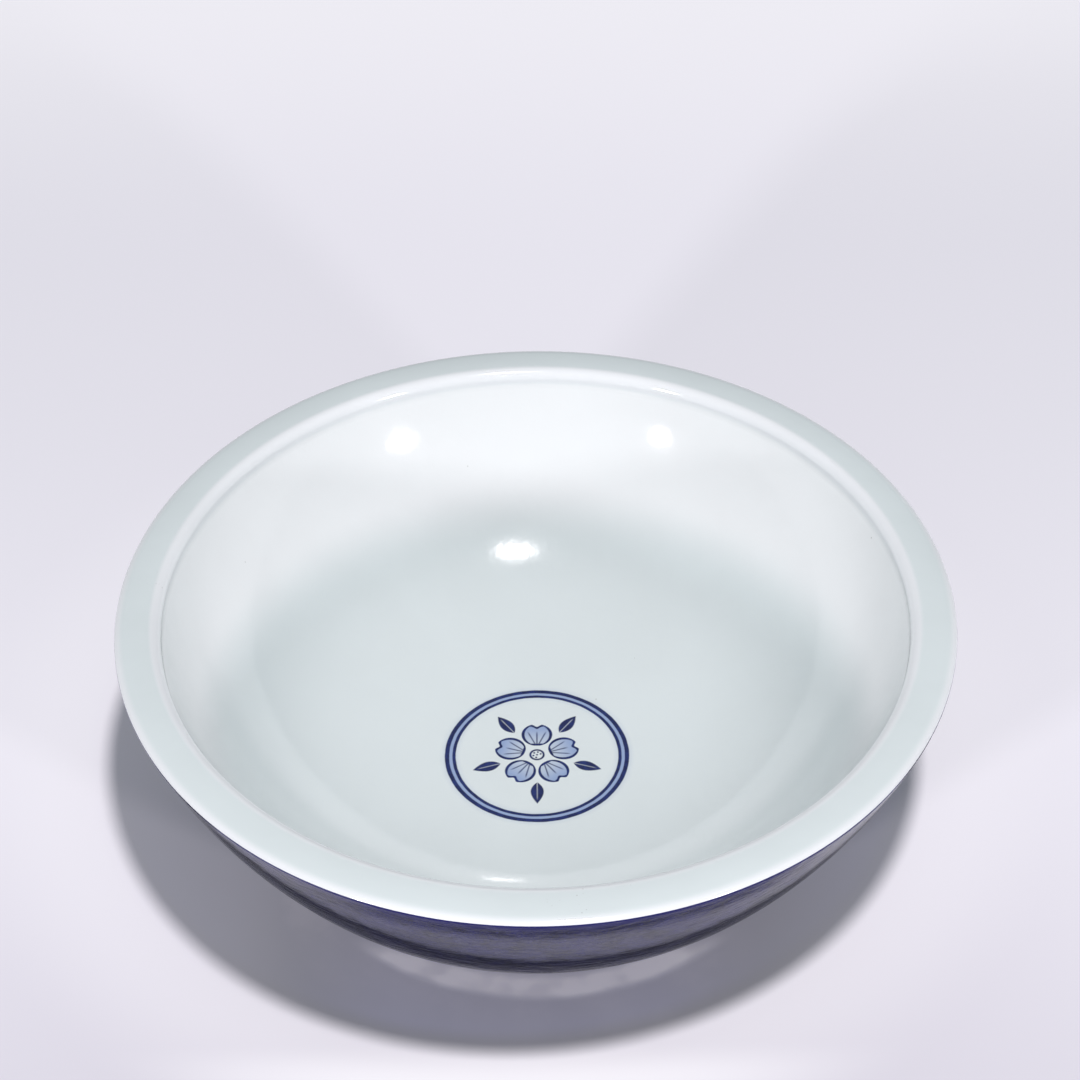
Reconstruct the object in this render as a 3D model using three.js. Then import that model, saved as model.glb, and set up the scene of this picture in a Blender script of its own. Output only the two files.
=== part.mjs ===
import * as THREE from 'three';

// An open alms bowl on a low foot ring, thrown thick in white porcelain, with clear glaze inside
// and powder-blue glaze outside. Millimetres, +Z up. The origin is the middle of the plane that
// the foot ring rests on, and -Y is the front.

// Clay body
const lipRadius = 131.8;        // widest place, just under the lip's outer shoulder
const lipWidth = 13.1;          // top of the lip with both of its rounded edges
const lipCrown = 7.5;           // degrees of fall that the lip's top gains on its way outwards
const lipShoulderReach = 4.6;   // the long soft roll of the lip's outer edge, inwards
const lipShoulderFall = 1.4;    // and downwards
const lipInnerRound = 2.6;
const lipFaceDepth = 4.5;       // how far down the lip's upright inner face meets the wall
const lipFaceSoftening = 1.7;   // how far either way that meeting is softened
const wallTopLean = 20;         // outer wall: degrees from upright, under the lip
const wallTopPull = 33;         // how stiffly the wall leaves the lip
const wallFootLean = 66;        // degrees from upright, at the foot
const wallFootPull = 30;        // how stiffly it arrives at the foot
const innerTopLean = 19;        // inner wall: degrees from upright, under the lip
const innerTopPull = 22;
const innerFloorPull = 58.7;    // how stiffly the inner wall leaves the level floor
const innerDepth = 67.6;        // from the lip's top to the floor
const baseThickness = 11;
const recessDepth = 10.7;       // the hollow inside the foot ring

// Foot ring
const footTopRadius = 71;
const footHeight = 7;
const footDraft = 1.2;          // how much narrower the rim is than the top of the foot
const footRimWidth = 7;
const footRimRound = 1.1;
const footInnerDraft = 1;
const recessCove = 3;

// Coats
const clearCoat = 0.5;
const blueCoat = 0.5;
const coatSeat = 0.2;           // hairline between a coat and what it lies on or meets
const coatBorderDrop = 1.65;    // from the lip's top to the border of white and blue
const bareRim = 2;              // clay left bare on each side of the foot ring's rim

// Cobalt painting on the floor
const levelMargin = 0.7;        // level floor left outside the painted ring
const outerLineRadius = 30.3;
const outerLineWidth = 1.15;
const washWidth = 1.35;
const innerLineWidth = 0.8;
const petals = 5;
const heartRadius = 2.7;
const petalGap = 1.2;           // from the heart to a petal's root
const petalLength = 10.2;
const petalWidth = 10.6;
const petalRoot = 2.2;          // how wide a petal starts
const petalNotch = 1.4;         // the dip in a petal's tip
const leafWidth = 5;
const leafTuck = 1.5;           // how far a leaf's root reaches in between the petals' tips
const leafMargin = 4.8;         // from a leaf's tip to the ring

// Fineness of the forms
const turns = 48;
const wallSteps = 8;
const innerSteps = 10;
const lipSteps = 4;
const crownSteps = 2;
const roundSteps = 3;
const rimSteps = 2;
const strokeSteps = 6;
const heartSteps = 10;

const P = (r, z) => new THREE.Vector2(r, z);
const degrees = THREE.MathUtils.degToRad;
const inDegrees = THREE.MathUtils.radToDeg;

// Points of an arc about (r, z), from one angle to another, with 0 outwards and 90 up. With a
// second radius, for its height, it is part of an ellipse.
function arc(r, z, radius, from, to, steps = roundSteps, upRadius = radius) {
  const points = [];
  for (let i = 0; i <= steps; i++) {
    const a = degrees(from + (to - from) * i / steps);
    points.push(P(r + radius * Math.cos(a), z + upRadius * Math.sin(a)));
  }
  return points;
}

// A point some way from another, along a direction given in degrees from upright.
function along(p, lean, distance) {
  return P(p.x + distance * Math.sin(degrees(lean)), p.y + distance * Math.cos(degrees(lean)));
}

// Each point moved square to the line, by a distance to the right of the way it runs.
function offset(line, distance) {
  return line.map((p, i) => {
    const back = line[Math.max(i - 1, 0)];
    const next = line[Math.min(i + 1, line.length - 1)];
    const way = next.clone().sub(back).normalize();
    return P(Math.max(p.x + way.y * distance, 0), p.y - way.x * distance);
  });
}

// The first place where a line crosses a height, with the index of the point after it.
function crossing(line, z) {
  const i = line.findIndex((p, k) => k > 0 && (line[k - 1].y - z) * (p.y - z) <= 0);
  const share = (z - line[i - 1].y) / (line[i].y - line[i - 1].y);
  return { point: line[i - 1].clone().lerp(line[i], share), index: i };
}

// A line cut in two at a height.
function cutAt(line, z) {
  const { point, index } = crossing(line, z);
  return [[...line.slice(0, index), point], [point, ...line.slice(index)]];
}

// The clay's section, as open lines that run from the base's middle round the outside and over
// the lip to the middle of the floor. The clay lies on their left.
const bodyHeight = innerDepth + baseThickness + recessDepth;
const footRimRadius = footTopRadius - footDraft;
const footInnerRadius = footRimRadius - footRimWidth;
const recessRadius = footInnerRadius - footInnerDraft;

const recess = [
  P(0, recessDepth),
  ...arc(recessRadius - recessCove, recessDepth - recessCove, recessCove, 90, 0),
  P(footInnerRadius, footRimRound),
];
const rim = [
  ...arc(footInnerRadius + footRimRound, footRimRound, footRimRound, 180, 270, rimSteps),
  ...arc(footRimRadius - footRimRound, footRimRound, footRimRound, 270, 360, rimSteps),
];

// The lip's top is level at its inner edge and falls ever more on its way outwards. Then it rolls
// over a shoulder, part of an ellipse, which ends where its slope is the wall's.
const mouthRadius = lipRadius - lipWidth;
const flatter = lipShoulderFall / lipShoulderReach;
const shoulderStart = Math.atan(flatter * Math.tan(degrees(wallTopLean)));
const shoulderEnd = Math.atan(Math.tan(degrees(lipCrown)) / flatter);
const crownStart = mouthRadius + lipInnerRound;
const crownEnd = lipRadius - lipShoulderReach * (1 - Math.sin(shoulderEnd));
const crownRadius = (crownEnd - crownStart) / Math.sin(degrees(lipCrown));
const crown = arc(
  crownStart,
  bodyHeight - crownRadius,
  crownRadius,
  90 - lipCrown,
  90,
  crownSteps,
);
const lipOuter = arc(
  lipRadius - lipShoulderReach,
  crown[0].y - lipShoulderFall * Math.cos(shoulderEnd),
  lipShoulderReach,
  -inDegrees(shoulderStart),
  90 - inDegrees(shoulderEnd),
  lipSteps,
  lipShoulderFall,
);
const lipInner = arc(crownStart, bodyHeight - lipInnerRound, lipInnerRound, 90, 180);

const wallTop = lipOuter[0];
const wallFoot = P(footTopRadius, footHeight);
const wall = new THREE.CubicBezierCurve(
  wallFoot,
  along(wallFoot, wallFootLean, wallFootPull),
  along(wallTop, wallTopLean, -wallTopPull),
  wallTop,
).getPoints(wallSteps);

// Inside, one sweep runs from the lip's face down to the level floor round the painted ring. The
// place where the two meet is softened.
const floorZ = bodyHeight - innerDepth;
const innerTop = P(mouthRadius, bodyHeight - lipFaceDepth);
const levelRadius = outerLineRadius + levelMargin;
const innerWall = new THREE.CubicBezierCurve(
  innerTop,
  along(innerTop, innerTopLean, -innerTopPull),
  P(levelRadius + innerFloorPull, floorZ),
  P(levelRadius, floorZ),
).getPoints(innerSteps);
const meeting = new THREE.QuadraticBezierCurve(
  along(innerTop, 0, lipFaceSoftening),
  innerTop,
  along(innerTop, innerTopLean, -lipFaceSoftening),
).getPoints(crownSteps);
const inside = [...meeting, ...innerWall.slice(1), P(outerLineRadius, floorZ)];

// The skin of the clay, parted where one coat ends and the next begins. Each coat stops a
// hairline short of its neighbour.
const [recessSkin, rimInside] = cutAt(recess, bareRim);
const [rimOutside, footSkin] = cutAt([P(footRimRadius, footRimRound), wallFoot], bareRim);
const aboveFoot = [
  ...wall.slice(1),
  ...lipOuter.slice(1),
  ...crown.slice(1),
  ...lipInner.slice(1),
];
const borderZ = bodyHeight - coatBorderDrop;
const [blueSkin, whiteSkin] = cutAt(aboveFoot, borderZ);
const outerSkin = [...footSkin, ...cutAt(blueSkin, borderZ - coatSeat)[0]];
const innerSkin = [...whiteSkin, ...inside];

// A turned solid from a closed section.
function turned(section) {
  const clean = section.filter((p, i) => i === 0 || p.distanceTo(section[i - 1]) > 1e-3);
  return new THREE.LatheGeometry(clean, turns).rotateX(Math.PI / 2);
}

// A coat that lies on a stretch of the skin.
function coat(skin, thickness) {
  const under = offset(skin, coatSeat);
  const top = offset(skin, coatSeat + thickness);
  return turned([...under, ...top.reverse(), under[0]].reverse());
}

// The floor's paint and the coat between it, all level with the coat round it.
const paintZ = floorZ + coatSeat;
const washRadius = outerLineRadius - outerLineWidth;
const innerLineRadius = washRadius - washWidth;
const fieldRadius = innerLineRadius - innerLineWidth;

function paintedRing(radius, width) {
  const outer = radius - coatSeat;
  const inner = radius - width;
  return turned([
    P(inner, paintZ),
    P(outer, paintZ),
    P(outer, paintZ + clearCoat),
    P(inner, paintZ + clearCoat),
    P(inner, paintZ),
  ]);
}

// A petal's outline, from the middle outwards along +Y: a narrow root, a full belly and two
// shoulders with a dip between them.
const petalStart = heartRadius + petalGap;
const petalTip = petalStart + petalLength;
function petalOutline() {
  const root = petalRoot / 2;
  const half = petalWidth / 2;
  const [belly, shoulder, dip] = [1.35 * half, 0.45 * half, 0.15 * half];
  const low = petalStart + 0.25 * petalLength;
  const outline = new THREE.Shape();
  outline.moveTo(-root, petalStart);
  outline.lineTo(root, petalStart);
  outline.bezierCurveTo(half, low, belly, petalTip, shoulder, petalTip);
  outline.quadraticCurveTo(dip, petalTip, 0, petalTip - petalNotch);
  outline.quadraticCurveTo(-dip, petalTip, -shoulder, petalTip);
  outline.bezierCurveTo(-belly, petalTip, -half, low, -root, petalStart);
  return outline.getPoints(strokeSteps);
}

// A leaf's outline, pointed at both ends and fullest near its root.
const leafStart = petalTip - leafTuck;
const leafTip = fieldRadius - leafMargin;
function leafOutline() {
  const length = leafTip - leafStart;
  const [low, high] = [leafStart + 0.2 * length, leafStart + 0.7 * length];
  const [lowHalf, highHalf] = [0.7 * leafWidth, 0.55 * leafWidth];
  const outline = new THREE.Shape();
  outline.moveTo(0, leafStart);
  outline.bezierCurveTo(lowHalf, low, highHalf, high, 0, leafTip);
  outline.bezierCurveTo(-highHalf, high, -lowHalf, low, 0, leafStart);
  return outline.getPoints(strokeSteps);
}

function turnedBy(outline, angle) {
  return outline.map((p) => p.clone().rotateAround(new THREE.Vector2(), angle));
}

// A closed outline grown outwards by a hairline.
function grown(outline) {
  const loop = outline.filter((p, i) => i === 0 || p.distanceTo(outline[i - 1]) > 1e-3);
  if (loop[0].distanceTo(loop[loop.length - 1]) < 1e-3) loop.pop();
  return loop.map((p, i) => {
    const back = loop[(i + loop.length - 1) % loop.length];
    const next = loop[(i + 1) % loop.length];
    const before = p.clone().sub(back).normalize();
    const after = next.clone().sub(p).normalize();
    const out = P(before.y + after.y, -before.x - after.x).normalize();
    const miter = Math.max(out.x * before.y - out.y * before.x, 0.5);
    return p.clone().addScaledVector(out, coatSeat / miter);
  });
}

// A flat piece of coat or paint on the floor.
function onFloor(shape) {
  const settings = { depth: clearCoat, bevelEnabled: false, curveSegments: turns / 2 };
  return new THREE.ExtrudeGeometry(shape, settings).translate(0, 0, paintZ);
}

const glaze = (color) => new THREE.MeshStandardMaterial({ color, roughness: 0.12, metalness: 0 });
const finish = {
  clay: new THREE.MeshStandardMaterial({ color: '#e6e0d4', roughness: 0.7, metalness: 0 }),
  clear: glaze('#dbe5e7'),
  blue: glaze('#43436a'),
  cobalt: glaze('#1f2b66'),
  wash: glaze('#bcc3e3'),
};

const bowl = new THREE.Group();
function add(name, geometry, material) {
  const mesh = new THREE.Mesh(geometry, material);
  mesh.name = name;
  bowl.add(mesh);
}

add(
  'porcelain_body',
  turned([
    ...recessSkin,
    ...rimInside,
    ...rim,
    ...rimOutside,
    ...footSkin,
    ...blueSkin,
    ...innerSkin,
    P(0, floorZ),
  ]),
  finish.clay,
);
add('base_clear_glaze', coat(recessSkin, clearCoat), finish.clear);
add('outer_blue_glaze', coat(outerSkin, blueCoat), finish.blue);
add('inner_clear_glaze', coat(innerSkin, clearCoat), finish.clear);

add('outer_ring_line', paintedRing(outerLineRadius, outerLineWidth), finish.cobalt);
add('ring_wash', paintedRing(washRadius, washWidth), finish.wash);
add('inner_ring_line', paintedRing(innerLineRadius, innerLineWidth), finish.cobalt);

// The blossom in the middle of the ring, with a leaf in the gap outside each pair of petals.
const field = new THREE.Shape().absarc(0, 0, fieldRadius - coatSeat, 0, 2 * Math.PI);
function paint(name, outline, material) {
  field.holes.push(new THREE.Path(grown(outline)));
  add(name, onFloor(new THREE.Shape(outline)), material);
}
const heart = new THREE.Path().absarc(0, 0, heartRadius, 0, 2 * Math.PI).getPoints(heartSteps);
paint('blossom_heart', heart, finish.cobalt);
for (let i = 0; i < petals; i++) {
  const angle = 2 * Math.PI * i / petals;
  paint(`petal_${i + 1}`, turnedBy(petalOutline(), angle), finish.wash);
  paint(`leaf_${i + 1}`, turnedBy(leafOutline(), angle + Math.PI / petals), finish.cobalt);
}
add('ring_field_glaze', onFloor(field), finish.clear);

export default bowl;
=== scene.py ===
import math
import bmesh
import bpy
import numpy as np
from mathutils import Matrix, Vector


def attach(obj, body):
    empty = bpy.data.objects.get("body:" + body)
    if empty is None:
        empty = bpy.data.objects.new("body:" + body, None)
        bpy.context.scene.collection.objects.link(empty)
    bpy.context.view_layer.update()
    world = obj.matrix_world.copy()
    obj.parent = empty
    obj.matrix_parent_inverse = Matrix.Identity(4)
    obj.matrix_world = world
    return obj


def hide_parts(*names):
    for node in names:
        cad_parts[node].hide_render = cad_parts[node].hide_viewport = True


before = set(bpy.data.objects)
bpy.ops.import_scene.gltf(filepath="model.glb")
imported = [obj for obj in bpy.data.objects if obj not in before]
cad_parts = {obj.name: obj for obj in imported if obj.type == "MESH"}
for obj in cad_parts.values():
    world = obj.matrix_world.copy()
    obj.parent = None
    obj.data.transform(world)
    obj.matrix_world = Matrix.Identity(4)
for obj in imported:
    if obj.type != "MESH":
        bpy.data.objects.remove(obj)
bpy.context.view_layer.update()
mm = 0.001

# The section of the bowl, in millimetres: r outwards, z up, as the clay was turned.
section = {
    "lipRadius": 131.8,
    "lipWidth": 13.1,
    "lipCrown": 7.5,          # degrees of fall that the lip's top gains on its way outwards
    "lipShoulderReach": 4.6,  # the long soft roll of the lip's outer edge, inwards
    "lipShoulderFall": 1.4,   # and downwards
    "lipInnerRound": 2.6,
    "lipFaceDepth": 4.5,      # how far down the lip's upright inner face meets the wall
    "lipFaceSoftening": 1.7,  # how far either way that meeting is softened
    "wallTopLean": 20.0,
    "wallTopPull": 33.0,
    "wallFootLean": 66.0,
    "wallFootPull": 30.0,
    "innerTopLean": 19.0,
    "innerTopPull": 22.0,
    "innerFloorPull": 58.7,
    "innerDepth": 67.6,
    "baseThickness": 11.0,
    "recessDepth": 10.7,
    "footTopRadius": 71.0,
    "footHeight": 7.0,
    "footDraft": 1.2,
    "footRimWidth": 7.0,
    "footRimRound": 1.1,
    "footInnerDraft": 1.0,
    "recessCove": 3.0,
    "coat": 0.7,              # a coat's face above the clay, with the hairline under it
    "coatDepth": 0.45,        # how far below its face a coat's back lies
    "borderDrop": 1.65,       # from the lip's top to the border of white and blue
    "bareRim": 2.0,
    "levelMargin": 0.7,       # level floor left outside the painted ring
}
fineness = {                  # steps along each stretch of the section
    "shoulder": 26,
    "crown": 12,
    "lipInner": 14,
    "recess": 24,
    "cove": 8,
    "footRim": 6,
    "footSide": 8,
    "wall": 72,
    "meeting": 12,
    "inner": 96,
    "innerTaken": 3,          # the first steps of the inner wall, whose place the meeting takes
}
ring = {                      # the painted ring's radius, then the widths of its bands, inwards
    "outer": 30.3,
    "outerLine": 1.15,
    "wash": 1.35,
    "innerLine": 0.8,
}
turns = 288                   # segments round the bowl
cornerAngle = 35.0            # degrees from which a corner is sharp
samePoint = 1e-4              # millimetres within which two points are one


def arcPoints(centre, radius, start, end, steps, upRadius=None):
    # part of a circle, or of an ellipse where it has a second radius for its height
    angles = np.radians(np.linspace(start, end, steps + 1))
    radii = np.array([radius, radius if upRadius is None else upRadius])
    return np.array(centre) + radii * np.stack([np.cos(angles), np.sin(angles)], 1)


def along(point, lean, distance):
    # a point some way from another, along a direction given in degrees from upright
    way = np.array([math.sin(math.radians(lean)), math.cos(math.radians(lean))])
    return np.array(point) + distance * way


def curvePoints(points, steps):
    # a Bezier curve of any degree
    points = np.array(points, float)
    degree = len(points) - 1
    t = np.linspace(0, 1, steps + 1)[:, None]
    weights = [math.comb(degree, k) * t**k * (1 - t) ** (degree - k) for k in range(degree + 1)]
    return sum(w * p for w, p in zip(weights, points))


def offsetLine(line, distance):
    # each point moved square to the line, to the right of the way it runs
    ahead = np.vstack([line[1:], line[-1:]])
    behind = np.vstack([line[:1], line[:-1]])
    way = ahead - behind
    way /= np.linalg.norm(way, axis=1)[:, None]
    moved = line + distance * np.stack([way[:, 1], -way[:, 0]], 1)
    moved[:, 0] = np.maximum(moved[:, 0], 0)
    return moved


def cutAt(line, z):
    # the line in two, at the first place where it crosses a height
    side = (line[:-1, 1] - z) * (line[1:, 1] - z) <= 0
    i = int(np.argmax(side)) + 1
    share = (z - line[i - 1, 1]) / (line[i, 1] - line[i - 1, 1])
    point = line[i - 1] + share * (line[i] - line[i - 1])
    return np.vstack([line[:i], point]), np.vstack([point, line[i:]])


def joined(*lines):
    # lines end to end, without the points that they share
    line = np.vstack(lines)
    keep = np.r_[True, np.linalg.norm(np.diff(line, axis=0), axis=1) > samePoint]
    return line[keep]


def lipLine(s, top):
    # from the outer wall's top over the shoulder and the crown, to the top of the inner face
    mouth = s["lipRadius"] - s["lipWidth"]
    reach, fall = s["lipShoulderReach"], s["lipShoulderFall"]
    start = math.atan(fall / reach * math.tan(math.radians(s["wallTopLean"])))
    end = math.atan(reach / fall * math.tan(math.radians(s["lipCrown"])))
    crownStart = mouth + s["lipInnerRound"]
    crownEnd = s["lipRadius"] - reach * (1 - math.sin(end))
    crownRadius = (crownEnd - crownStart) / math.sin(math.radians(s["lipCrown"]))
    crownCentre = (crownStart, top - crownRadius)
    crown = arcPoints(crownCentre, crownRadius, 90 - s["lipCrown"], 90, fineness["crown"])
    centre = (s["lipRadius"] - reach, crown[0, 1] - fall * math.cos(end))
    start, end = -math.degrees(start), 90 - math.degrees(end)
    shoulder = arcPoints(centre, reach, start, end, fineness["shoulder"], fall)
    innerCentre = (crownStart, top - s["lipInnerRound"])
    innerRound = arcPoints(innerCentre, s["lipInnerRound"], 90, 180, fineness["lipInner"])
    return joined(shoulder, crown, innerRound)


def footLines(s):
    # the recess under the base and the foot's rim, from the base's middle outwards
    rimOut = s["footTopRadius"] - s["footDraft"]
    rimIn = rimOut - s["footRimWidth"]
    cove, rimRound = s["recessCove"], s["footRimRound"]
    coveStart = rimIn - s["footInnerDraft"] - cove
    recess = joined(
        curvePoints([(0, s["recessDepth"]), (coveStart, s["recessDepth"])], fineness["recess"]),
        arcPoints((coveStart, s["recessDepth"] - cove), cove, 90, 0, fineness["cove"]),
        [(rimIn, rimRound)],
    )
    rim = joined(
        arcPoints((rimIn + rimRound, rimRound), rimRound, 180, 270, fineness["footRim"]),
        arcPoints((rimOut - rimRound, rimRound), rimRound, 270, 360, fineness["footRim"]),
    )
    footTop = (s["footTopRadius"], s["footHeight"])
    footSide = curvePoints([(rimOut, rimRound), footTop], fineness["footSide"])
    return recess, rim, footSide


def bowlLines(s):
    # the clay's faces, as lines from the base's middle round the outside to the floor's middle
    top = s["innerDepth"] + s["baseThickness"] + s["recessDepth"]
    floorZ = top - s["innerDepth"]
    recess, rim, footSide = footLines(s)
    lip = lipLine(s, top)
    wallFoot = (s["footTopRadius"], s["footHeight"])
    wallControls = [
        wallFoot,
        along(wallFoot, s["wallFootLean"], s["wallFootPull"]),
        along(lip[0], s["wallTopLean"], -s["wallTopPull"]),
        lip[0],
    ]
    wall = curvePoints(wallControls, fineness["wall"])
    innerTop = np.array([lip[-1, 0], top - s["lipFaceDepth"]])
    level = ring["outer"] + s["levelMargin"]
    soft = s["lipFaceSoftening"]
    meetingControls = [along(innerTop, 0, soft), innerTop, along(innerTop, s["innerTopLean"], -soft)]
    meeting = curvePoints(meetingControls, fineness["meeting"])
    innerControls = [
        innerTop,
        along(innerTop, s["innerTopLean"], -s["innerTopPull"]),
        (level + s["innerFloorPull"], floorZ),
        (level, floorZ),
    ]
    inner = curvePoints(innerControls, fineness["inner"])[fineness["innerTaken"]:]
    rimInside = cutAt(recess, s["bareRim"])
    rimOutside = cutAt(footSide, s["bareRim"])
    blue, white = cutAt(joined(wall[1:], lip), top - s["borderDrop"])
    return {
        "recess": rimInside[0],
        "rim": joined(rimInside[1], rim, rimOutside[0]),
        "outside": joined(rimOutside[1], blue),
        "inside": joined(white, meeting, inner, [(ring["outer"], floorZ)]),
        "floorZ": floorZ,
        "top": top,
    }


lines = bowlLines(section)


def turnedMesh(name, line, closed=False, turns=turns):
    # turns a line round the axis, with its corners kept sharp
    line = np.array(line) * mm
    n = len(line)
    angle = np.linspace(0, 2 * math.pi, turns, endpoint=False)
    r, z = np.repeat(line[:, 0], turns), np.repeat(line[:, 1], turns)
    a = np.tile(angle, n)
    verts = np.stack([r * np.cos(a - math.pi / 2), r * np.sin(a - math.pi / 2), z], 1)
    faces = []
    bands = n if closed else n - 1
    for i in range(bands):
        low, high = i * turns, ((i + 1) % n) * turns
        for k in range(turns):
            j = (k + 1) % turns
            faces.append((low + k, low + j, high + j, high + k))
    mesh = bpy.data.meshes.new(name)
    mesh.from_pydata(verts.tolist(), [], faces)
    mesh.validate()
    obj = bpy.data.objects.new(name, mesh)
    bpy.context.scene.collection.objects.link(obj)
    weld(obj)
    for poly in mesh.polygons:
        poly.use_smooth = True
    mesh.set_sharp_from_angle(angle=math.radians(cornerAngle))
    return obj


def weld(obj):
    # merges the points that meet on the axis
    bm = bmesh.new()
    bm.from_mesh(obj.data)
    bmesh.ops.remove_doubles(bm, verts=bm.verts, dist=samePoint * mm)
    bm.to_mesh(obj.data)
    bm.free()


def shellLine(face):
    # a coat's closed section: its face, then its back against the clay
    back = offsetLine(face, -section["coatDepth"])
    return np.vstack([face, back[::-1]])


def newMaterial(name):
    material = bpy.data.materials.new(name)
    material.use_nodes = True
    tree = material.node_tree
    return material, tree, tree.nodes["Principled BSDF"]


def maths(tree, operation, a, b=0.0):
    made = tree.nodes.new("ShaderNodeMath")
    made.operation = operation
    for socket, value in zip(made.inputs, (a, b)):
        if isinstance(value, (int, float)):
            socket.default_value = value
        else:
            tree.links.new(value, socket)
    return made.outputs[0]


def product(tree, first, *others):
    for value in others:
        first = maths(tree, "MULTIPLY", first, value)
    return first


def vectorMaths(tree, operation, vector, other=None):
    made = tree.nodes.new("ShaderNodeVectorMath")
    made.operation = operation
    tree.links.new(vector, made.inputs[0])
    if other is not None:
        made.inputs[1].default_value = other
    return made


def scaledColor(tree, color, share):
    # a colour made darker, to a share of itself
    made = vectorMaths(tree, "SCALE", color)
    tree.links.new(share, made.inputs["Scale"])
    return made.outputs["Vector"]


def mixColor(tree, factor, a, b):
    made = tree.nodes.new("ShaderNodeMix")
    made.data_type = "RGBA"
    sockets = (made.inputs["Factor"], made.inputs[6], made.inputs[7])   # the last two are the colours
    for socket, value in zip(sockets, (factor, a, b)):
        if isinstance(value, (int, float)):
            socket.default_value = value
        elif isinstance(value, tuple):
            socket.default_value = (*value, 1.0)
        else:
            tree.links.new(value, socket)
    return made.outputs[2]


def ranged(tree, value, low, high, toLow=0.0, toHigh=1.0):
    # a value carried from one range to another, smoothly and clamped
    made = tree.nodes.new("ShaderNodeMapRange")
    made.interpolation_type = "SMOOTHSTEP"
    tree.links.new(value, made.inputs["Value"])
    for key, number in {"From Min": low, "From Max": high, "To Min": toLow, "To Max": toHigh}.items():
        made.inputs[key].default_value = number
    return made.outputs["Result"]


def noise(tree, coords, scale, detail, roughness=0.5, distortion=0.0):
    made = tree.nodes.new("ShaderNodeTexNoise")
    made.inputs["Scale"].default_value = scale
    made.inputs["Detail"].default_value = detail
    made.inputs["Roughness"].default_value = roughness
    made.inputs["Distortion"].default_value = distortion
    tree.links.new(coords, made.inputs["Vector"])
    return made.outputs["Fac"]


def mottle(tree, coords, grain, span, *to):
    # noise, of which a span is stretched to the full range or to the one given
    return ranged(tree, noise(tree, coords, *grain), *span, *to)


def uneven(tree, coords, grain, reach):
    # noise to both sides of nothing, as wide as its reach in all
    return maths(tree, "MULTIPLY", maths(tree, "SUBTRACT", noise(tree, coords, *grain), 0.5), reach)


def places(tree, coords):
    # x, y and z, each by itself
    split = tree.nodes.new("ShaderNodeSeparateXYZ")
    tree.links.new(coords, split.inputs[0])
    return split.outputs["X"], split.outputs["Y"], split.outputs["Z"]


def fromAxis(tree, x, y):
    # the distance from the bowl's axis
    square = maths(tree, "ADD", maths(tree, "POWER", x, 2.0), maths(tree, "POWER", y, 2.0))
    return maths(tree, "SQRT", square)


def spots(tree, coords, scale, size, chance):
    # scattered round specks: 1 inside a speck, 0 elsewhere
    cells = tree.nodes.new("ShaderNodeTexVoronoi")
    cells.inputs["Scale"].default_value = scale
    tree.links.new(coords, cells.inputs["Vector"])
    split = tree.nodes.new("ShaderNodeSeparateColor")
    tree.links.new(cells.outputs["Color"], split.inputs["Color"])
    picked = maths(tree, "LESS_THAN", split.outputs["Red"], chance)
    grain = maths(tree, "MULTIPLY", split.outputs["Green"], size)
    near = maths(tree, "LESS_THAN", cells.outputs["Distance"], grain)
    return maths(tree, "MULTIPLY", picked, near)


def bumped(tree, shader, height, strength, distance):
    bump = tree.nodes.new("ShaderNodeBump")
    bump.inputs["Strength"].default_value = strength
    bump.inputs["Distance"].default_value = distance
    tree.links.new(height, bump.inputs["Height"])
    tree.links.new(bump.outputs["Normal"], shader.inputs["Normal"])


glazeFace = {
    "swellDetail": 2.0,                # of the slow unevenness
    "peelDetail": 1.0,                 # and of the quick one
    "peelHeight": 0.14,
    "grit": (2400.0, 1.0),
    "gritHeight": 0.03,
    "patches": (35.0, 3.0),            # where it is smoother or rougher
    "patchSpan": (0.3, 0.75),
    "roughness": (0.06, 0.12),
}
specks = {
    "loose": (300.0, 0.11, 0.012),     # scale, size and share of the cells that hold one
    "crowded": (800.0, 0.2, 0.45),
    "crowds": {                        # where they crowd: place and reach, in metres
        "nearLip": ((0.012, -0.122, 0.090), 0.012),
        "farLip": ((0.027, 0.127, 0.089), 0.006),
        "leftLip": ((-0.121, 0.008, 0.090), 0.005),
        "rightLip": ((0.111, 0.064, 0.089), 0.004),
        "floor": ((0.057, 0.037, 0.029), 0.002),
    },
    "core": 0.4,                       # the share of the reach in which a crowd is full
    "dent": 0.4,
}


def nearCrowds(tree, coords):
    # 1 in the middle of a crowd of specks, 0 outside it
    total = 0.0
    for centre, reach in specks["crowds"].values():
        away = vectorMaths(tree, "DISTANCE", coords, centre).outputs["Value"]
        crowd = ranged(tree, away, specks["core"] * reach, reach, 1.0, 0.0)
        total = maths(tree, "MAXIMUM", crowd, total)
    return total


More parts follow.
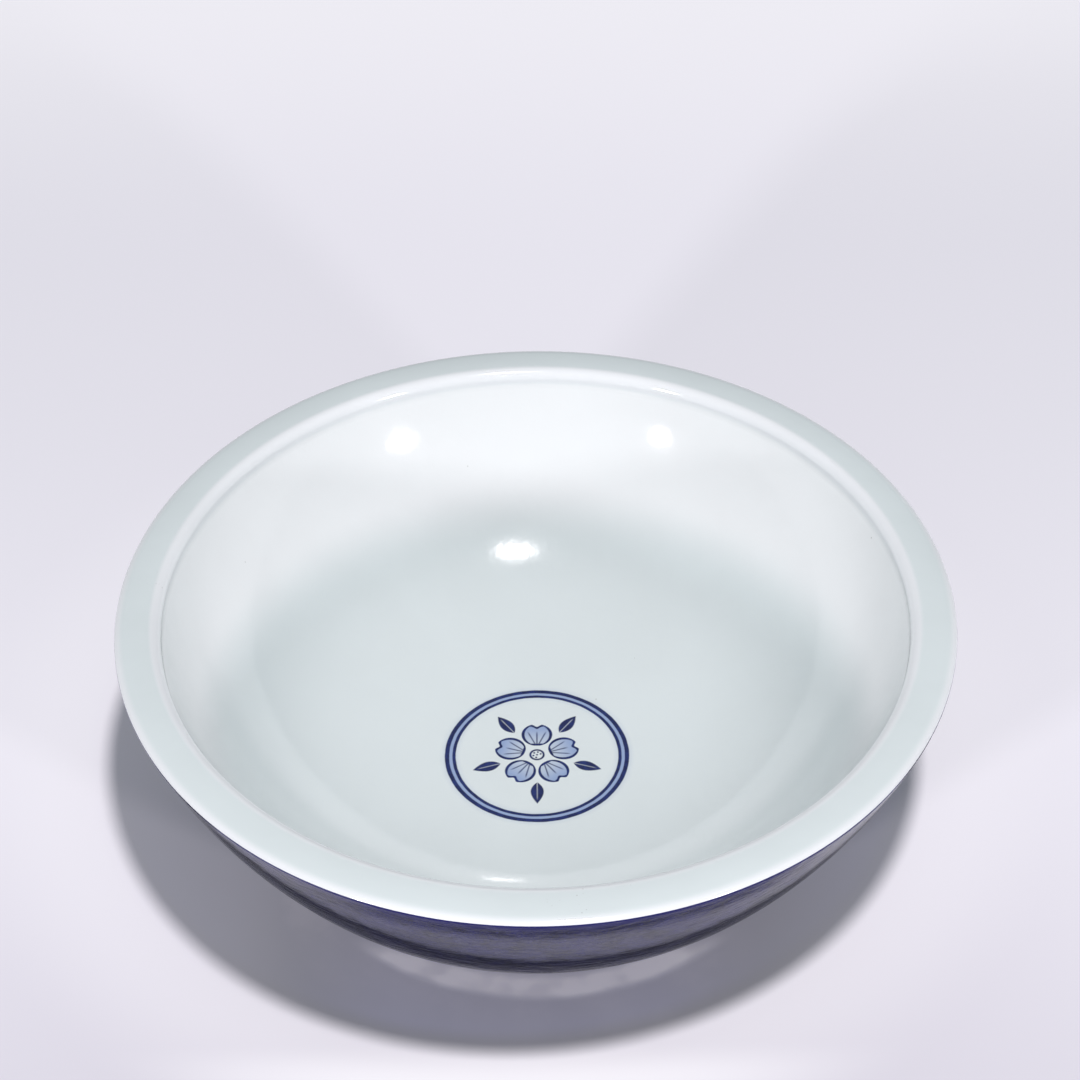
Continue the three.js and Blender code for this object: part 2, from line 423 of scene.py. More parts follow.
def glazeSkinGroup():
    # what every coat of glaze shares: the soft unevenness of its face, its specks and its sheen
    f = glazeFace
    group = bpy.data.node_groups.new("glazeSkin", "ShaderNodeTree")
    for name in ("Swell", "Peel"):
        group.interface.new_socket(name, in_out="INPUT", socket_type="NodeSocketFloat")
    for name in ("Height", "Roughness", "Specks"):
        group.interface.new_socket(name, in_out="OUTPUT", socket_type="NodeSocketFloat")
    inputs, outputs = group.nodes.new("NodeGroupInput"), group.nodes.new("NodeGroupOutput")
    coords = group.nodes.new("ShaderNodeTexCoord").outputs["Object"]
    swell = group.nodes.new("ShaderNodeTexNoise")
    peel = group.nodes.new("ShaderNodeTexNoise")
    for made, key, detail in ((swell, "Swell", f["swellDetail"]), (peel, "Peel", f["peelDetail"])):
        made.inputs["Detail"].default_value = detail
        group.links.new(coords, made.inputs["Vector"])
        group.links.new(inputs.outputs[key], made.inputs["Scale"])
    fine = maths(group, "MULTIPLY", peel.outputs["Fac"], f["peelHeight"])
    grit = maths(group, "MULTIPLY", noise(group, coords, *f["grit"]), f["gritHeight"])
    height = maths(group, "ADD", maths(group, "ADD", swell.outputs["Fac"], fine), grit)
    crowded = product(group, spots(group, coords, *specks["crowded"]), nearCrowds(group, coords))
    dark = maths(group, "MAXIMUM", spots(group, coords, *specks["loose"]), crowded)
    height = maths(group, "SUBTRACT", height, maths(group, "MULTIPLY", dark, specks["dent"]))
    roughness = mottle(group, coords, f["patches"], f["patchSpan"], *f["roughness"])
    group.links.new(height, outputs.inputs["Height"])
    group.links.new(roughness, outputs.inputs["Roughness"])
    group.links.new(dark, outputs.inputs["Specks"])
    return group


glazeSkin = glazeSkinGroup()


def placedSkin(tree, **values):
    made = tree.nodes.new("ShaderNodeGroup")
    made.node_tree = glazeSkin
    for key, value in values.items():
        made.inputs[key].default_value = value
    return made


clearGlaze = {
    "floor": (0.708, 0.764, 0.772),
    "turn": (0.632, 0.693, 0.703),     # round the turn of the wall, darker: painted shade
    # the wall's colour, paler than the turn: painted light
    "wall": (0.722, 0.745, 0.757),
    "lip": (0.628, 0.688, 0.699),      # level on the lip
    "edge": (0.715, 0.738, 0.760),     # thin, on the roundings of the lip
    "turnHeights": (0.025, 0.048),     # in metres, from one colour to the next
    "wallHeights": (0.048, 0.065),
    "litWallSlant": 0.105,                # painted light: how much further down the paler wall colour reaches at the back, where the wall is lit more
    "lipHeights": (0.0845, 0.0865),
    "innerEdge": (0.1205, 0.1222),     # radii in metres
    "outerEdge": (0.1296, 0.1318),
    "clouds": (14.0, 4.0),             # scale and detail of a noise, here and below
    "cloudSpan": (0.35, 0.7),          # the span of it that counts
    "shade": 0.955,                    # how deep the slow clouds are
    "speck": (0.30, 0.31, 0.29),
    "speckShare": 0.45,
    "swell": 70.0,
    "peel": 480.0,
    "relief": (0.22, 0.6 * mm),
    "ior": 1.5,
    "coat": 0.3,
    "coatRoughness": 0.05,
}
cobaltPaint = {
    "dark": (0.006, 0.011, 0.075),
    "mid": (0.011, 0.024, 0.14),
    "wash": (0.265, 0.355, 0.58),
    "heaps": (330.0, 4.0, 0.65),       # where the paint lies thicker
    "heapSpan": (0.38, 0.66),
    "hand": (260.0, 3.0),              # the unsteadiness of the lines
    "handReach": 0.26 * mm,
    "soft": 0.17 * mm,                 # how far a line bleeds into the glaze
    "spread": 0.16 * mm,               # how far it spreads to each side
    "line": 0.99,                      # how fully the paint of a line covers
    "washed": 0.9,                     # and that of the wash
    "haze": 0.26,                      # strength of the blue haze round the ring
    "hazeReach": 1.5 * mm,
    "heights": (0.014, 0.018),         # the glaze under the base, below these, isn't painted
}


def coatColor(tree, coords, specksOut):
    # the clear glaze's colour, from the floor over the wall to the lip, with painted shade round the turn
    # and painted light up the wall
    c = clearGlaze
    x, y, height = places(tree, coords)
    radius = fromAxis(tree, x, y)
    # painted light: the paler wall colour reaches further down at the back, where the wall is lit more
    litWallHeight = maths(tree, "ADD", height, maths(tree, "MULTIPLY", y, c["litWallSlant"]))
    onLip = ranged(tree, height, *c["lipHeights"])
    color = mixColor(tree, ranged(tree, height, *c["turnHeights"]), c["floor"], c["turn"])
    color = mixColor(tree, ranged(tree, litWallHeight, *c["wallHeights"]), color, c["wall"])
    color = mixColor(tree, onLip, color, c["lip"])
    inner = ranged(tree, radius, *c["innerEdge"], 1.0, 0.0)
    outer = ranged(tree, radius, *c["outerEdge"])
    color = mixColor(tree, product(tree, maths(tree, "MAXIMUM", inner, outer), onLip), color, c["edge"])
    color = scaledColor(tree, color, mottle(tree, coords, c["clouds"], c["cloudSpan"], 1.0, c["shade"]))
    return mixColor(tree, maths(tree, "MULTIPLY", specksOut, c["speckShare"]), color, c["speck"])


def meshPaint(tree, name):
    # how much of a kind of paint the field's mesh holds
    made = tree.nodes.new("ShaderNodeAttribute")
    made.attribute_name = name
    return made.outputs["Fac"]


def withCobalt(tree, coords, color):
    # the ring and the blossom, painted over a colour
    p = cobaltPaint
    x, y, height = places(tree, coords)
    radius = maths(tree, "ADD", fromAxis(tree, x, y), uneven(tree, coords, p["hand"], p["handReach"]))
    inBowl = ranged(tree, height, *p["heights"])

    def band(outer, inner, soft):
        up = ranged(tree, radius, inner - soft, inner + soft)
        down = ranged(tree, radius, outer - soft, outer + soft, 1.0, 0.0)
        return product(tree, up, down, inBowl)

    edges = [ring["outer"] * mm]
    for part in ("outerLine", "wash", "innerLine"):
        edges.append(edges[-1] - ring[part] * mm)
    blue = mixColor(tree, mottle(tree, coords, p["heaps"], p["heapSpan"]), p["dark"], p["mid"])
    half = p["hazeReach"] / 2
    haze = band(edges[0] + half, edges[3] - half, p["hazeReach"])
    color = mixColor(tree, maths(tree, "MULTIPLY", haze, p["haze"]), color, p["wash"])
    washed = band(edges[1], edges[2], p["soft"])
    color = mixColor(tree, maths(tree, "MULTIPLY", washed, p["washed"]), color, p["wash"])
    for outer, inner in ((edges[0], edges[1]), (edges[2], edges[3])):
        line = band(outer + p["spread"], inner - p["spread"], p["soft"])
        color = mixColor(tree, maths(tree, "MULTIPLY", line, p["line"]), color, blue)
    color = mixColor(tree, meshPaint(tree, "tint"), color, p["wash"])
    return mixColor(tree, maths(tree, "MULTIPLY", meshPaint(tree, "stroke"), p["line"]), color, blue)


def paintedGlaze(name):
    # clear glaze, over the cobalt painting on the floor of the bowl
    c = clearGlaze
    material, tree, shader = newMaterial(name)
    coords = tree.nodes.new("ShaderNodeTexCoord").outputs["Object"]
    skin = placedSkin(tree, Swell=c["swell"], Peel=c["peel"])
    color = withCobalt(tree, coords, coatColor(tree, coords, skin.outputs["Specks"]))
    tree.links.new(color, shader.inputs["Base Color"])
    tree.links.new(skin.outputs["Roughness"], shader.inputs["Roughness"])
    shader.inputs["IOR"].default_value = c["ior"]
    shader.inputs["Coat Weight"].default_value = c["coat"]
    shader.inputs["Coat Roughness"].default_value = c["coatRoughness"]
    bumped(tree, shader, skin.outputs["Height"], *c["relief"])
    return material


blueGlaze = {
    "deep": (0.0030, 0.0034, 0.020),
    "blue": (0.0100, 0.0110, 0.078),
    "pale": (0.055, 0.055, 0.150),     # where little powder fell
    "border": (0.024, 0.024, 0.120),   # a purer blue just under the white edge
    "borderHeights": (0.0835, 0.0870),
    "borderShare": 0.8,
    "clouds": (120.0, 5.0, 0.62, 0.4), # scale, detail, roughness and distortion
    "cloudSpan": (0.36, 0.66),
    "grains": (1300.0, 3.0, 0.7),
    "grainSpan": (0.42, 0.62),
    "grainShare": 0.6,
    "bare": (620.0, 4.0, 0.65),
    "bareSpan": (0.56, 0.72),
    "bareShare": 0.6,
    "swell": 95.0,
    "peel": 420.0,
    "roughness": 0.45,                 # a share of the skin's
    "streaks": (520.0, 4.0, 0.6),
    "streakFlatness": 0.3,
    "streakHeight": 0.6,
    "relief": (0.5, 0.9 * mm),
}
blueSheen = {                          # how strongly the blue mirrors what lies round it, set by place: a painted reflection of the floor round the bowl
    "strip": 0.006,                    # in the dark strip low on the front: painted reflection of the shadowed floor under the bowl
    "wall": 0.17,
    "rim": 0.035,                      # just under the white edge, in front: weaker, painted reflection
    "stripHeights": (0.055, 0.063),
    "rimHeights": (0.074, 0.082),
    "front": 5.0,                      # degrees right of the front, where the strip reaches least far up
    "climb": 0.077,                    # how fast it climbs to both sides of that, in metres
    "ragged": 0.012,                   # how uneven its upper edge is, in metres
    "stripEnd": (0.3, 0.64),           # how far the wall still faces the front, from none of it to all
    "rimEnd": (0.80, 0.92),
    "side": 2.0,                       # how much stronger the sheen is at the sides than in front: painted reflection of the lit floor
    "sideEnd": (0.76, 0.98),
    "stripPaintedShade": 0.33,                # how much darker the colour of the strip is: painted shade
}


def frontness(tree, coords, degrees):
    # 1 where the wall faces a way given in degrees from the front, 0 square to it, -1 behind
    flat = vectorMaths(tree, "MULTIPLY", coords, (1.0, 1.0, 0.0)).outputs["Vector"]
    unit = vectorMaths(tree, "NORMALIZE", flat).outputs["Vector"]
    angle = math.radians(degrees)
    way = (math.sin(angle), -math.cos(angle), 0.0)
    return vectorMaths(tree, "DOT_PRODUCT", unit, way).outputs["Value"]


def powderColor(tree, coords, height):
    c = blueGlaze
    color = mixColor(tree, mottle(tree, coords, c["clouds"], c["cloudSpan"]), c["deep"], c["blue"])
    grains = mottle(tree, coords, c["grains"], c["grainSpan"])
    color = mixColor(tree, maths(tree, "MULTIPLY", grains, c["grainShare"]), color, c["blue"])
    bare = mottle(tree, coords, c["bare"], c["bareSpan"])
    color = mixColor(tree, maths(tree, "MULTIPLY", bare, c["bareShare"]), color, c["pale"])
    border = ranged(tree, height, *c["borderHeights"], 0.0, c["borderShare"])
    return mixColor(tree, border, color, c["border"])


def powderBlue():
    c, g = blueGlaze, blueSheen
    material, tree, shader = newMaterial("powderBlueGlaze")
    coords = tree.nodes.new("ShaderNodeTexCoord").outputs["Object"]
    skin = placedSkin(tree, Swell=c["swell"], Peel=c["peel"])
    height = places(tree, coords)[2]
    flatness = (c["streakFlatness"], c["streakFlatness"], 1.0)
    level = vectorMaths(tree, "MULTIPLY", coords, flatness).outputs["Vector"]
    streaks = noise(tree, level, *c["streaks"])
    front = frontness(tree, coords, g["front"])
    lift = maths(tree, "MULTIPLY", maths(tree, "SUBTRACT", 1.0, front), g["climb"])
    ragged = maths(tree, "MULTIPLY", maths(tree, "SUBTRACT", streaks, 0.5), g["ragged"])
    above = maths(tree, "SUBTRACT", maths(tree, "ADD", height, ragged), lift)
    above = ranged(tree, above, *g["stripHeights"])
    above = maths(tree, "MAXIMUM", above, ranged(tree, front, *g["stripEnd"], 1.0, 0.0))
    # painted reflection: the colour is darker, and the sheen weaker, in the strip low on the front
    shade = ranged(tree, above, 0.0, 1.0, g["stripPaintedShade"], 1.0)
    color = scaledColor(tree, powderColor(tree, coords, height), shade)
    tree.links.new(color, shader.inputs["Base Color"])
    roughness = maths(tree, "MULTIPLY", skin.outputs["Roughness"], c["roughness"])
    tree.links.new(roughness, shader.inputs["Roughness"])
    # the sheen, set by height and place: painted reflection
    lost = ranged(tree, height, *g["rimHeights"], 0.0, g["wall"] - g["rim"])
    lost = maths(tree, "MULTIPLY", lost, ranged(tree, front, *g["rimEnd"]))
    gained = maths(tree, "SUBTRACT", g["wall"] - g["strip"], lost)
    sheen = product(tree, above, gained, ranged(tree, front, *g["sideEnd"], g["side"], 1.0))
    shader.inputs["Specular IOR Level"].default_value = g["wall"]
    tree.links.new(maths(tree, "ADD", sheen, g["strip"]), shader.inputs["Specular IOR Level"])
    raised = maths(tree, "MULTIPLY", streaks, c["streakHeight"])
    bumped(tree, shader, maths(tree, "ADD", skin.outputs["Height"], raised), *c["relief"])
    return material


bareClay = {
    "color": (0.78, 0.73, 0.65),
    "toast": (0.56, 0.40, 0.27),       # where the fire browned it
    "toastPatches": (45.0, 4.0),
    "toastSpan": (0.5, 0.75),
    "toastShare": 0.55,
    "grain": (900.0, 5.0, 0.7),
    "grainSpan": (0.3, 0.7),
    "roughness": (0.62, 0.85),
    "relief": (0.35, 0.25 * mm),
}


def firedClay():
    c = bareClay
    material, tree, shader = newMaterial("firedClay")
    coords = tree.nodes.new("ShaderNodeTexCoord").outputs["Object"]
    grain = noise(tree, coords, *c["grain"])
    toast = mottle(tree, coords, c["toastPatches"], c["toastSpan"], 0.0, c["toastShare"])
    tree.links.new(mixColor(tree, toast, c["color"], c["toast"]), shader.inputs["Base Color"])
    tree.links.new(ranged(tree, grain, *c["grainSpan"], *c["roughness"]), shader.inputs["Roughness"])
    bumped(tree, shader, grain, *c["relief"])
    return material


def dress(obj, material, slot, *nodes):
    obj.data.materials.clear()
    obj.data.materials.append(material)
    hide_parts(*nodes)
    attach(obj, "root")


whiteGlaze = paintedGlaze("clearGlaze")
coatFace = {key: offsetLine(lines[key], section["coat"]) for key in ("recess", "outside", "inside")}

print("making the coats")
innerGlaze = turnedMesh("inner_glaze", shellLine(coatFace["inside"]), closed=True)
dress(innerGlaze, whiteGlaze, "clear_glaze", "inner_clear_glaze")
outerGlaze = turnedMesh("outer_powder_blue", shellLine(coatFace["outside"]), closed=True)
dress(outerGlaze, powderBlue(), "blue_glaze", "outer_blue_glaze")
baseGlaze = turnedMesh("base_glaze", shellLine(coatFace["recess"]), closed=True)
dress(baseGlaze, whiteGlaze, "clear_glaze", "base_clear_glaze")

print("making the clay body")
clayLine = joined(lines["recess"], lines["rim"], lines["outside"], lines["inside"], [(0, lines["floorZ"])])
clay = turnedMesh("porcelain", clayLine)
dress(clay, firedClay(), "porcelain", "porcelain_body")

print("painting the floor")
faceZ = lines["floorZ"] + section["coat"]
backZ = faceZ - section["coatDepth"]


def ringPiece(name, outer, inner, slot, *nodes):
    line = [(outer, backZ), (outer, faceZ), ((outer + inner) / 2, faceZ), (inner, faceZ), (inner, backZ)]
    made = turnedMesh(name, np.array(line), closed=True)
    dress(made, whiteGlaze, slot, *nodes)


edgeOut = ring["outer"]
edgeWash = edgeOut - ring["outerLine"]
edgeIn = edgeWash - ring["wash"]
edgeField = edgeIn - ring["innerLine"]
ringPiece("ring_line_outer", edgeOut, edgeWash, "cobalt", "outer_ring_line")
ringPiece("ring_wash_band", edgeWash, edgeIn, "pale_wash", "ring_wash")
ringPiece("ring_line_inner", edgeIn, edgeField, "cobalt", "inner_ring_line")

blossom = {                            # in millimetres, from the bowl's axis outwards
    "petals": 5,
    "petalReach": 14.1,
    "petalMiddle": 9.4,
    "petalRoot": 4.2,
    "petalHalf": 5.1,
    "petalRoundness": (0.92, 0.80),    # of its outer and inner end
    "petalEnds": (-1.15, 1.0),         # where its width stops changing, in halves of its length
    "notch": 1.1,                      # width and depth of the notch in its tip
    "veinLeans": (-0.42, 0.0, 0.42),
    "veinStart": 3.5,                  # where the veins would meet
    "veinWidth": (0.14, 0.42),
    "veinRoot": (4.2, 5.4),
    "veinTip": (9.4, 11.2),
    "veinShare": 0.75,
    "tint": (0.45, 0.5),               # of the wash, at the root and what it gains
    "tintReach": (5.0, 13.5),
    "leafStart": 12.6,
    "leafEnd": 22.2,
    "leafHalf": 2.1,
    "leafEnds": (-1.3, 1.3),
    "leafLean": 0.25,                  # how much fuller the leaf is near its root
    "ribWidth": (0.08, 0.26),
    "ribTip": (19.0, 21.0),
    "ribShare": 0.5,
    "heart": 2.7,
    "dots": 5,                         # round the middle one
    "dotRing": 1.25,
    "dotTurn": 0.3,
    "dotEdge": (0.2, 0.5),
    "outline": 0.5,                    # half the width of a brush line
    "soft": 0.16,
    "step": 0.16,                      # between the field's points, from its middle outwards
    "fineTurns": 2,                    # times the segments of the other pieces
}


def smooth(value, low, high):
    t = np.clip((value - low) / (high - low), 0, 1)
    return t * t * (3 - 2 * t)


def turned(x, y, angle):
    c, s = math.cos(angle), math.sin(angle)
    return c * x + s * y, -s * x + c * y


def petalDistance(x, y):
    # roughly how far a point lies outside a petal that points along +Y
    b = blossom
    u = (y - b["petalMiddle"]) / (b["petalReach"] - b["petalMiddle"])
    roundness = np.where(u > 0, *b["petalRoundness"])
    share = np.clip(1 - np.clip(u, *b["petalEnds"]) ** 2 * roundness, 0, 1)
    half = b["petalHalf"] * np.sqrt(share)
    tip = y - b["petalReach"] + b["notch"] * np.exp(-((x / b["notch"]) ** 2))
    return np.maximum(np.maximum(np.abs(x) - half, tip), b["petalRoot"] - y)


def leafDistance(x, y):
    # the same for a leaf
    b = blossom
    middle, reach = (b["leafStart"] + b["leafEnd"]) / 2, (b["leafEnd"] - b["leafStart"]) / 2
    u = np.clip((y - middle) / reach, *b["leafEnds"])
    half = b["leafHalf"] * (1 - u**2) * (1 - b["leafLean"] * u)
    return np.maximum(np.abs(x) - half, np.abs(y - middle) - reach)


def petalPaint(x, y):
    b = blossom
    d = petalDistance(x, y)
    line = 1 - smooth(np.abs(d + b["outline"]), b["outline"] - b["soft"], b["outline"] + b["soft"])
    inside = 1 - smooth(d, -b["soft"], b["soft"])
    length = smooth(y, *b["veinRoot"]) * (1 - smooth(y, *b["veinTip"]))
    middles = [lean * (y - b["veinStart"]) for lean in b["veinLeans"]]
    veins = np.maximum.reduce([1 - smooth(np.abs(x - middle), *b["veinWidth"]) for middle in middles])
    stroke = np.maximum(line, b["veinShare"] * veins * length * inside)
    root, gained = b["tint"]
    return stroke, inside * (root + gained * smooth(y, *b["tintReach"]))


def leafPaint(x, y):
    b = blossom
    leaf = 1 - smooth(leafDistance(x, y), -b["soft"], b["soft"])
    rib = (1 - smooth(np.abs(x), *b["ribWidth"])) * (1 - smooth(y, *b["ribTip"]))
    return leaf * (1 - b["ribShare"] * rib)


def heartPaint(x, y):
    b = blossom
    paint = 1 - smooth(np.abs(np.hypot(x, y) - b["heart"] + b["outline"]), *b["dotEdge"])
    dots = [(b["dotRing"], 2 * math.pi * k / (b["dots"] + 1) + b["dotTurn"]) for k in range(b["dots"])]
    for reach, angle in [*dots, (0.0, 0.0)]:
        dot = np.hypot(x - reach * math.cos(angle), y - reach * math.sin(angle))
        paint = np.maximum(paint, 1 - smooth(dot, *b["dotEdge"]))
    return paint


def paintedBlossom(x, y):
    # how much stroke and tint each point of the field holds
    stroke, tint = heartPaint(x, y), np.zeros_like(x)
    step = 2 * math.pi / blossom["petals"]
    for k in range(blossom["petals"]):
        petal, wash = petalPaint(*turned(x, y, k * step))
        leaf = leafPaint(*turned(x, y, (k + 0.5) * step))
        stroke = np.maximum.reduce([stroke, petal, leaf])
        tint = np.maximum(tint, wash)
    return stroke, tint


def fieldPiece():
    # the round field inside the ring, fine enough to hold the painting
    radii = np.linspace(0, edgeField, int(edgeField / blossom["step"]) + 1)[::-1]
    face = np.stack([radii, np.full_like(radii, faceZ)], 1)
    line = np.vstack([[(edgeField, backZ)], face, [(0, backZ)]])
    made = turnedMesh("ring_field", line, closed=True, turns=blossom["fineTurns"] * turns)
    points = np.array([v.co[:] for v in made.data.vertices]) / mm
    stroke, tint = paintedBlossom(points[:, 0], points[:, 1])
    onFace = points[:, 2] > (faceZ + backZ) / 2
    for name, values in (("stroke", stroke * onFace), ("tint", tint * onFace)):
        layer = made.data.attributes.new(name, "FLOAT", "POINT")
        layer.data.foreach_set("value", values.astype(np.float32))
    painted = [f"{part}_{k + 1}" for part in ("petal", "leaf") for k in range(blossom["petals"])]
    dress(made, whiteGlaze, "clear_glaze", "ring_field_glaze", "blossom_heart", *painted)


fieldPiece()

tableTop = {                           # distances in metres
    "front": (0.625, 0.605, 0.675),    # the floor's colour nearest the camera, darker: painted shade
    "middle": (0.85, 0.833, 0.895),    # round the bowl
    "back": (0.825, 0.81, 0.87),
    "middleReach": (-0.22, 0.08),      # how far away from the camera, seen from the bowl's axis
    "backReach": (0.05, 0.4),
    "shadowMiddle": (-0.01, 0.034, 0.0),
    "paintedPool": 0.29,                      # painted light: how much paler the floor is close round the shadow
    "frontPool": 0.85,                 # and right in front
    "frontReach": (-0.118, -0.102),
    "poolColor": (0.97, 0.96, 1.0),
    "poolStart": (0.134, 0.145),       # from the shadow's middle
    "poolEnd": (0.150, 0.195),
    "rim": 0.11,                       # painted shadow: how much darker it is just inside the shadow's edge, in front
    "rimStart": (0.105, 0.130),
    "rimEnd": (0.137, 0.145),
    "rimReach": (-0.1, -0.05),
    "glow": 0.7,                       # painted light that the bowl's glaze throws down round the foot
    "glowColor": (1.0, 0.95, 1.0),
    "glowPatches": (55.0, 3.0),
    "glowSpan": (0.35, 0.65, 0.35, 1.0),
    "glowRadii": (0.085, 0.108),
    "glowEnd": (0.045, 0.075),         # to the right
    # painted light in the left of the bowl's shadow
    "leftGlow": 0.3,
    "leftStart": (-0.10, -0.065),
    "leftEnd": (0.134, 0.142),
    "arcStart": (0.0735, 0.079),       # radii of the bright arc under the front, painted light that glows
    "arcEnd": (0.0825, 0.0870),
    "arcReach": (-0.068, -0.058),
    "arcPatches": (90.0, 2.0),
    "arcSpan": (0.3, 0.7, 0.6, 1.3),
    "arcLight": 0.13,
    "shade": (0.79, 0.775, 1.0),       # bluer in the bowl's shadow
    "shadeShare": 0.7,
    "shadeEnd": (0.130, 0.140),
    "shadeLeft": (-0.09, -0.04, 0.2, 1.0),
    "shadeRight": (0.03, 0.08, 1.0, 0.35),
    "roughness": 0.6,
    "specular": 0.2,
    "rise": 13.0,                      # degrees that the paper seems to sweep up behind
    "riseReach": (0.15, 0.55),
    "far": (0.97, 0.96, 1.0),          # the far end of the paper, as the camera sees it
    "farShare": 0.45,
    "farReach": (0.3, 0.56),
    "half": 6.0,
}


def paintedPoolAndShadow(tree, color, away, fromShadow):
    # painted light close round the bowl's shadow, painted shadow just inside its edge
    t = tableTop
    share = ranged(tree, away, *t["frontReach"], t["frontPool"], t["paintedPool"])
    start = ranged(tree, fromShadow, *t["poolStart"])
    end = ranged(tree, fromShadow, *t["poolEnd"], 1.0, 0.0)
    color = mixColor(tree, product(tree, start, share, end), color, t["poolColor"])
    start = ranged(tree, fromShadow, *t["rimStart"], 0.0, t["rim"])
    end = ranged(tree, fromShadow, *t["rimEnd"], 1.0, 0.0)
    rim = product(tree, start, end, ranged(tree, away, *t["rimReach"], 1.0, 0.0))
    return scaledColor(tree, color, maths(tree, "SUBTRACT", 1.0, rim))


def thrownLight(tree, coords, x, away, fromShadow):
    # painted light, where the bowl's glaze throws light down round its foot: all of it, and the bright arc
    # alone
    t = tableTop
    radius = fromAxis(tree, x, away)
    glow = ranged(tree, radius, *t["glowRadii"], t["glow"], 0.0)
    patches = mottle(tree, coords, t["glowPatches"], t["glowSpan"])
    glow = product(tree, glow, patches, ranged(tree, x, *t["glowEnd"], 1.0, 0.0))
    left = ranged(tree, x, *t["leftStart"], t["leftGlow"], 0.0)
    left = product(tree, left, ranged(tree, fromShadow, *t["leftEnd"], 1.0, 0.0))
    start = ranged(tree, radius, *t["arcStart"])
    end = ranged(tree, radius, *t["arcEnd"], 1.0, 0.0)
    arc = product(tree, start, end, ranged(tree, away, *t["arcReach"], 1.0, 0.0))
    return maths(tree, "MAXIMUM", maths(tree, "MAXIMUM", glow, left), arc), arc


def floorColor(tree, shader, coords):
    t = tableTop
    x, away = places(tree, coords)[:2]
    fromShadow = vectorMaths(tree, "DISTANCE", coords, t["shadowMiddle"]).outputs["Value"]
    color = mixColor(tree, ranged(tree, away, *t["middleReach"]), t["front"], t["middle"])
    color = mixColor(tree, ranged(tree, away, *t["backReach"]), color, t["back"])
    color = paintedPoolAndShadow(tree, color, away, fromShadow)
    glow, arc = thrownLight(tree, coords, x, away, fromShadow)
    color = mixColor(tree, glow, color, t["glowColor"])
    # the bright arc glows: painted light
    arc = product(tree, arc, mottle(tree, coords, t["arcPatches"], t["arcSpan"]))
    tree.links.new(mixColor(tree, arc, (0.0, 0.0, 0.0), t["glowColor"]), shader.inputs["Emission Color"])
    shader.inputs["Emission Strength"].default_value = t["arcLight"]
    shade = ranged(tree, fromShadow, *t["shadeEnd"], t["shadeShare"], 0.0)
    shade = product(tree, shade, ranged(tree, x, *t["shadeLeft"]), ranged(tree, x, *t["shadeRight"]))
    tree.links.new(mixColor(tree, shade, color, t["shade"]), shader.inputs["Base Color"])
    return away


def plainFloor():
    t = tableTop
    material, tree, shader = newMaterial("studioFloor")
    coords = tree.nodes.new("ShaderNodeTexCoord").outputs["Object"]
    away = floorColor(tree, shader, coords)
    shader.inputs["Roughness"].default_value = t["roughness"]
    shader.inputs["Specular IOR Level"].default_value = t["specular"]
    slope = tree.nodes.new("ShaderNodeCombineXYZ")
    slope.inputs["Z"].default_value = 1.0
    tilt = ranged(tree, away, *t["riseReach"], 0.0, -math.tan(math.radians(t["rise"])))
    tree.links.new(tilt, slope.inputs["Y"])
    unit = vectorMaths(tree, "NORMALIZE", slope.outputs["Vector"])
    tree.links.new(unit.outputs["Vector"], shader.inputs["Normal"])
    farLight = tree.nodes.new("ShaderNodeEmission")
    farLight.inputs["Color"].default_value = (*t["far"], 1.0)
    path = tree.nodes.new("ShaderNodeLightPath")
    seen = maths(tree, "MAXIMUM", path.outputs["Is Camera Ray"], path.outputs["Is Glossy Ray"])
    seen = maths(tree, "MAXIMUM", seen, path.outputs["Is Transmission Ray"])
    blend = tree.nodes.new("ShaderNodeMixShader")
    share = ranged(tree, away, *t["farReach"], 0.0, t["farShare"])
    tree.links.new(maths(tree, "MULTIPLY", share, seen), blend.inputs[0])
    tree.links.new(shader.outputs[0], blend.inputs[1])
    tree.links.new(farLight.outputs[0], blend.inputs[2])
    tree.links.new(blend.outputs[0], tree.nodes["Material Output"].inputs["Surface"])
    mesh = bpy.data.meshes.new("floor")
    corners = [(x * t["half"], y * t["half"], 0) for x, y in ((-1, -1), (1, -1), (1, 1), (-1, 1))]
    mesh.from_pydata(corners, [], [(0, 1, 2, 3)])
    floor = bpy.data.objects.new("floor", mesh)
    floor.data.materials.append(material)
    bpy.context.scene.collection.objects.link(floor)


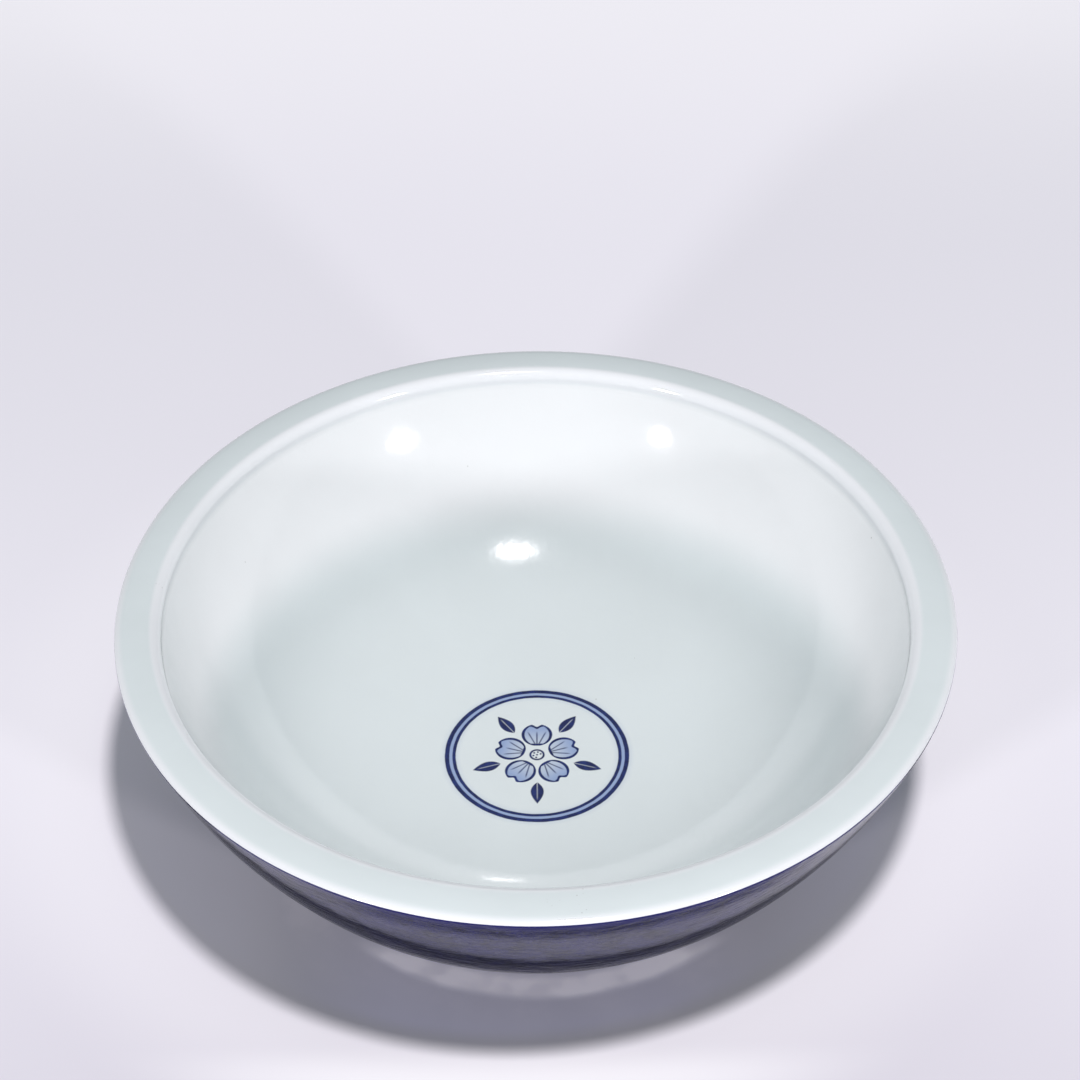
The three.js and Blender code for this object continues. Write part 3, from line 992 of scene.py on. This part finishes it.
studio = {
    "lamp": (1.0, 0.963, 0.975),
    "aim": (0, 0, 0.06),
    "lamps": {                         # degrees right of the front, degrees up, distance, size, power
        "lampAbove": (14.5, 69.64, 2.123, 0.16, 33.3),
        "lampLeft": (-39.0, 12.3, 1.9, 0.18, 14.2),
        "lampRight": (41.5, 11.6, 1.9, 0.155, 10.6),
    },
    "world": (0.85, 0.95, 1.0),
    "worldStrength": 0.285,
}


def softLamp(name, azimuth, elevation, distance, size, power):
    a, e = math.radians(azimuth), math.radians(elevation)
    lamp = bpy.data.lights.new(name, "AREA")
    lamp.shape, lamp.size, lamp.energy, lamp.color = "DISK", size, power, studio["lamp"]
    obj = bpy.data.objects.new(name, lamp)
    way = distance * np.array([math.sin(a) * math.cos(e), -math.cos(a) * math.cos(e), math.sin(e)])
    obj.location = np.array(studio["aim"]) + way
    obj.rotation_mode = "QUATERNION"
    obj.rotation_quaternion = Vector(way).normalized().to_track_quat("Z", "Y")
    bpy.context.scene.collection.objects.link(obj)


print("lighting the table")
plainFloor()
for lampName, lampValues in studio["lamps"].items():
    softLamp(lampName, *lampValues)
world = bpy.data.worlds.new("studio")
bpy.context.scene.world = world
world.use_nodes = True
background = world.node_tree.nodes["Background"]
background.inputs["Color"].default_value = (*studio["world"], 1)
background.inputs["Strength"].default_value = studio["worldStrength"]

view = {
    "lipRadius": 132.5 * mm,           # the unit of the next two
    "distance": 7.143,
    "aside": 0.0118,
    "elevation": 42.575,               # from the middle of the lip's plane, in degrees
    "pitch": 41.354,                   # how far the camera looks down
    "roll": -0.47,
    "lens": 100.0,
    "sensor": 36.0,
}


def makeCamera():
    v = view
    data = bpy.data.cameras.new("camera")
    data.lens, data.sensor_width = v["lens"], v["sensor"]
    camera = bpy.data.objects.new("camera", data)
    rise = math.radians(v["elevation"])
    reach = v["distance"] * v["lipRadius"]
    top = (lines["top"] + section["coat"]) * mm
    place = (v["aside"] * v["lipRadius"], -reach * math.cos(rise), top + reach * math.sin(rise))
    tilt = Matrix.Rotation(math.radians(90 - v["pitch"]), 4, "X")
    turn = Matrix.Rotation(math.radians(v["roll"]), 4, "Z")
    camera.matrix_world = Matrix.Translation(place) @ tilt @ turn
    bpy.context.scene.collection.objects.link(camera)
    bpy.context.scene.camera = camera


makeCamera()
bpy.context.scene.view_settings.view_transform = "Standard"
